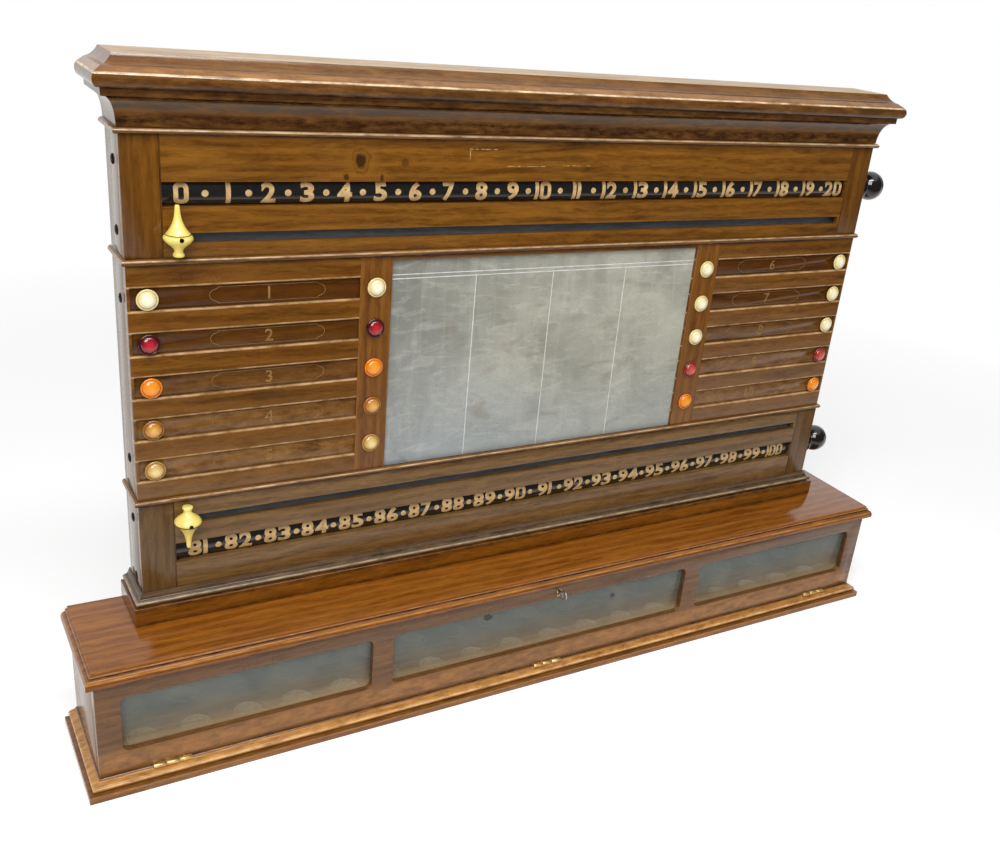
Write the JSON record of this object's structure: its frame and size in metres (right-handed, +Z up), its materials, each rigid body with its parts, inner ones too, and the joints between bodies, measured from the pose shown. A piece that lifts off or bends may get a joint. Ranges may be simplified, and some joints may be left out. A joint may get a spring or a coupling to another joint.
{
  "type": "billiard scoreboard",
  "caption": "Wooden billiard scoreboard with number rollers, sliding pointers, a slate panel and sliding slats, standing on a long glazed ball box with a fall-front door.",
  "frame": {"origin": "on the floor under the middle of the bounding box", "axes": "+X to the viewer's right along the board, -Y out of the front, +Z up"},
  "size_m": [1.211, 0.165, 0.7925],
  "materials": {
    "mahogany": "polished and varnished",
    "dark_mahogany": "dark polished",
    "slat_wood": "polished, darker than the rails",
    "roller_black": "black paint with pale numbers",
    "ebonised_wood": "black polished",
    "glass": "clear pane",
    "brass": "worn brass",
    "steel": "dull steel",
    "slate": "writing slate with ruled lines",
    "ivory": "turned, pale yellow",
    "cream": "polished",
    "red": "polished",
    "orange": "polished",
    "amber": "polished",
    "tan": "polished"
  },
  "bodies": {
    "case": {"box_base": "mahogany", "box_back": "mahogany", "box_left_end": "mahogany", "box_right_end": "mahogany", "box_lid": "mahogany", "ball_tray": "dark_mahogany", "hinge_left_base_leaf": "brass", "hinge_centre_base_leaf": "brass", "hinge_right_base_leaf": "brass", "plinth": "dark_mahogany", "foot_moulding": "mahogany", "board_back": "dark_mahogany", "board_left_side": "mahogany", "board_right_side": "mahogany", "upper_fascia": "mahogany", "lower_fascia": "mahogany", "middle_panel": "mahogany", "slate": "slate", "slate_stile_left": "mahogany", "slate_stile_right": "mahogany", "upper_bead": "mahogany", "lower_bead": "mahogany", "neck_bead": "mahogany", "cornice": "mahogany"},
    "ball_box_door": {"door_frame": "mahogany", "door_glass_left": "glass", "door_glass_middle": "glass", "door_glass_right": "glass", "hinge_left_door_leaf": "brass", "hinge_centre_door_leaf": "brass", "hinge_right_door_leaf": "brass", "lock_case": "steel"},
    "key": {"key": "steel", "lock_bolt": "brass"},
    "upper_roller": {"upper_roller": "roller_black", "upper_roller_knob": "ebonised_wood"},
    "upper_pointer": {"upper_pointer": "ivory"},
    "lower_roller": {"lower_roller": "roller_black", "lower_roller_knob": "ebonised_wood"},
    "lower_pointer": {"lower_pointer": "ivory"},
    "slat_left_1": {"slat_left_1": "slat_wood", "slat_knob_left_1": "cream"},
    "slat_left_2": {"slat_left_2": "slat_wood", "slat_knob_left_2": "red"},
    "slat_left_3": {"slat_left_3": "slat_wood", "slat_knob_left_3": "orange"},
    "slat_left_4": {"slat_left_4": "slat_wood", "slat_knob_left_4": "amber"},
    "slat_left_5": {"slat_left_5": "slat_wood", "slat_knob_left_5": "tan"},
    "slat_right_1": {"slat_right_1": "slat_wood", "slat_knob_right_1": "cream"},
    "slat_right_2": {"slat_right_2": "slat_wood", "slat_knob_right_2": "cream"},
    "slat_right_3": {"slat_right_3": "slat_wood", "slat_knob_right_3": "cream"},
    "slat_right_4": {"slat_right_4": "slat_wood", "slat_knob_right_4": "red"},
    "slat_right_5": {"slat_right_5": "slat_wood", "slat_knob_right_5": "orange"}
  },
  "joints": [
    {"name": "ball_box_door_hinge", "type": "hinge", "parent": "case", "child": "ball_box_door", "pos_m": [0, -0.065, 0.0215], "axis": [1, 0, 0], "range_deg": [0, 90]},
    {"name": "key_turn", "type": "hinge", "parent": "ball_box_door", "child": "key", "pos_m": [0.007, -0.06, 0.1362], "axis": [0, -1, 0], "range_deg": [0, 90]},
    {"name": "upper_roller_spin", "type": "hinge", "parent": "case", "child": "upper_roller", "pos_m": [0, 0.0435, 0.6596], "axis": [1, 0, 0], "continuous": true},
    {"name": "lower_roller_spin", "type": "hinge", "parent": "case", "child": "lower_roller", "pos_m": [0, 0.0435, 0.2481], "axis": [1, 0, 0], "continuous": true},
    {"name": "upper_pointer_slide", "type": "slide", "parent": "case", "child": "upper_pointer", "axis": [1, 0, 0], "range_m": [0, 0.93]},
    {"name": "lower_pointer_slide", "type": "slide", "parent": "case", "child": "lower_pointer", "axis": [1, 0, 0], "range_m": [0, 0.93]},
    {"name": "slat_left_1_slide", "type": "slide", "parent": "case", "child": "slat_left_1", "axis": [1, 0, 0], "range_m": [0, 0.03]},
    {"name": "slat_left_2_slide", "type": "slide", "parent": "case", "child": "slat_left_2", "axis": [1, 0, 0], "range_m": [0, 0.03]},
    {"name": "slat_left_3_slide", "type": "slide", "parent": "case", "child": "slat_left_3", "axis": [1, 0, 0], "range_m": [0, 0.03]},
    {"name": "slat_left_4_slide", "type": "slide", "parent": "case", "child": "slat_left_4", "axis": [1, 0, 0], "range_m": [0, 0.03]},
    {"name": "slat_left_5_slide", "type": "slide", "parent": "case", "child": "slat_left_5", "axis": [1, 0, 0], "range_m": [0, 0.03]},
    {"name": "slat_right_1_slide", "type": "slide", "parent": "case", "child": "slat_right_1", "axis": [-1, 0, 0], "range_m": [0, 0.03]},
    {"name": "slat_right_2_slide", "type": "slide", "parent": "case", "child": "slat_right_2", "axis": [-1, 0, 0], "range_m": [0, 0.03]},
    {"name": "slat_right_3_slide", "type": "slide", "parent": "case", "child": "slat_right_3", "axis": [-1, 0, 0], "range_m": [0, 0.03]},
    {"name": "slat_right_4_slide", "type": "slide", "parent": "case", "child": "slat_right_4", "axis": [-1, 0, 0], "range_m": [0, 0.03]},
    {"name": "slat_right_5_slide", "type": "slide", "parent": "case", "child": "slat_right_5", "axis": [-1, 0, 0], "range_m": [0, 0.03]}
  ]
}
